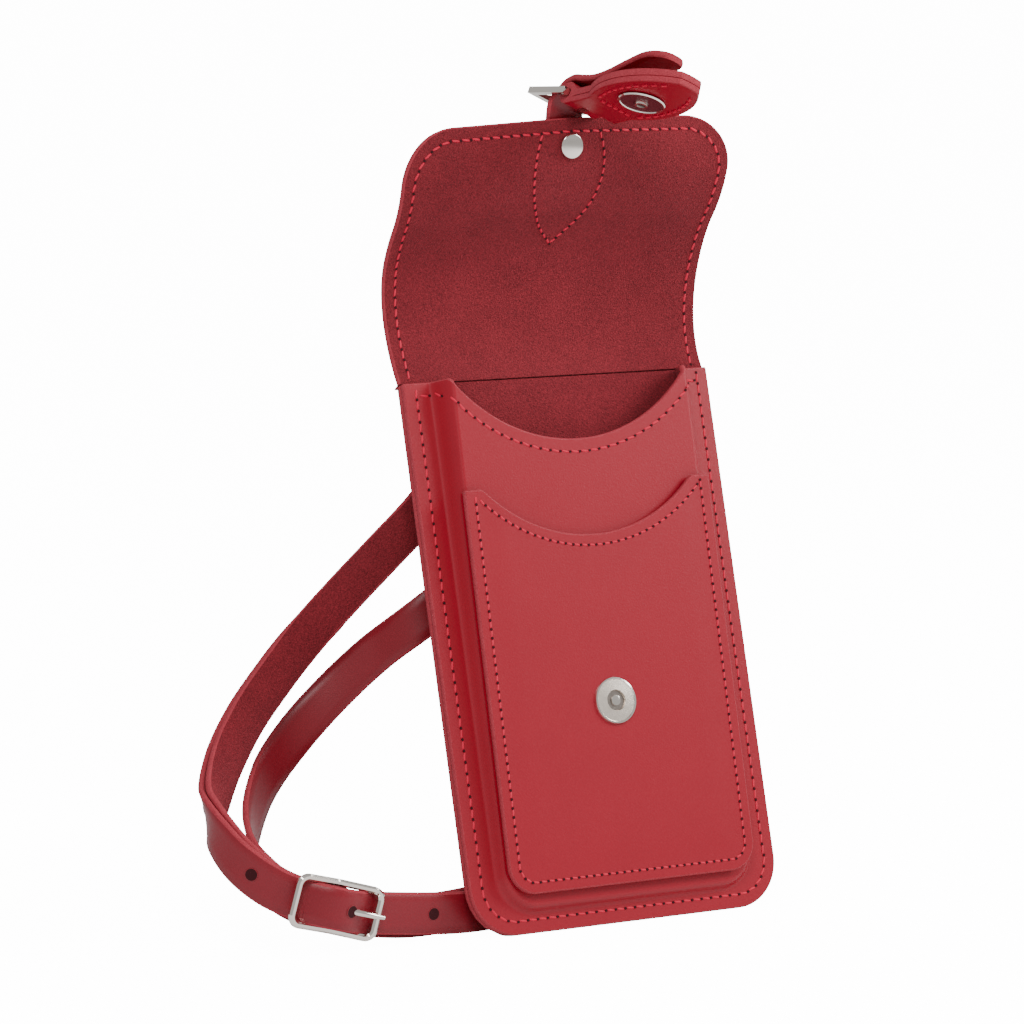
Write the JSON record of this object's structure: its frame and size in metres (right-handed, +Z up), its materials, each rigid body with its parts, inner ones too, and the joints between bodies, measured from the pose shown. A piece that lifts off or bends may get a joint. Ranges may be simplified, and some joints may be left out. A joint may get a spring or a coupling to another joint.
{
  "type": "phone wallet case",
  "caption": "Leather crossbody phone pouch with an open flap, a card pocket, a magnetic snap closure tab on a small buckle, and a long buckled shoulder strap.",
  "frame": {"origin": "middle of the lower back edge, where the leaning pouch touches the floor", "axes": "+X to the pouch's left-to-right width, -Y out of its front, +Z up"},
  "size_m": [0.1763, 0.0825, 0.2519],
  "materials": {
    "red_leather": "smooth grain, satin",
    "suede_side": "rough flesh side",
    "thread": "waxed thread",
    "nickel": "polished nickel",
    "snap_metal": "satin nickel"
  },
  "bodies": {
    "pocket": {"back_panel": "red_leather", "front_panel": "red_leather", "card_backing": "red_leather", "card_pocket": "red_leather", "snap_socket": "snap_metal", "snap_washer": "snap_metal", "pocket_stitching": "thread", "card_stitching": "thread", "anchor_left": "red_leather", "anchor_right": "red_leather", "anchor_rivets": "nickel"},
    "flap": {"flap": "suede_side", "flap_stitching": "thread", "closure_patch": "red_leather", "patch_stitching": "thread", "closure_rivet": "nickel"},
    "closure": {"closure_buckle": "nickel", "closure_tongue": "red_leather"},
    "closure_prong": {"closure_prong": "nickel"},
    "tab": {"tab_outer": "red_leather", "tab_lining": "suede_side", "tab_stitching": "thread", "snap_stud": "snap_metal"},
    "strap": {"ring_left": "nickel", "ring_right": "nickel", "strap_tongue": "red_leather", "strap_buckle_end": "red_leather", "strap_buckle": "nickel"},
    "strap_prong": {"strap_prong": "nickel"}
  },
  "joints": [
    {"name": "flap_hinge", "type": "hinge", "parent": "pocket", "child": "flap", "pos_m": [0, 0.03743, 0.16286], "axis": [1, 0, 0], "range_deg": [-8, 151]},
    {"name": "closure_bend", "type": "hinge", "parent": "flap", "child": "closure", "pos_m": [-0.00011, 0.03194, 0.23458], "axis": [-0.9416, -0.3026, 0.1478], "range_deg": [-4.3, 78.2]},
    {"name": "tab_hinge", "type": "hinge", "parent": "closure", "child": "tab", "pos_m": [0.00197, 0.02714, 0.238], "axis": [0.91, 0.0814, -0.4065], "range_deg": [-3, 15]},
    {"name": "closure_prong_hinge", "type": "hinge", "parent": "closure", "child": "closure_prong", "pos_m": [0.00197, 0.02714, 0.238], "axis": [0.91, 0.0814, -0.4065], "range_deg": [0, 6]},
    {"name": "strap_swing", "type": "hinge", "parent": "pocket", "child": "strap", "pos_m": [0, 0.04243, 0.14599], "axis": [1, 0, 0], "range_deg": [0, 90]},
    {"name": "strap_prong_hinge", "type": "hinge", "parent": "strap", "child": "strap_prong", "pos_m": [-0.09334, 0.00666, 0.0131], "axis": [-0.2608, 0.0375, -0.9647], "range_deg": [0, 6]}
  ],
  "couplings": [
    {"joint": "closure_bend", "follows": "flap_hinge", "ratio": 0.51706}
  ]
}
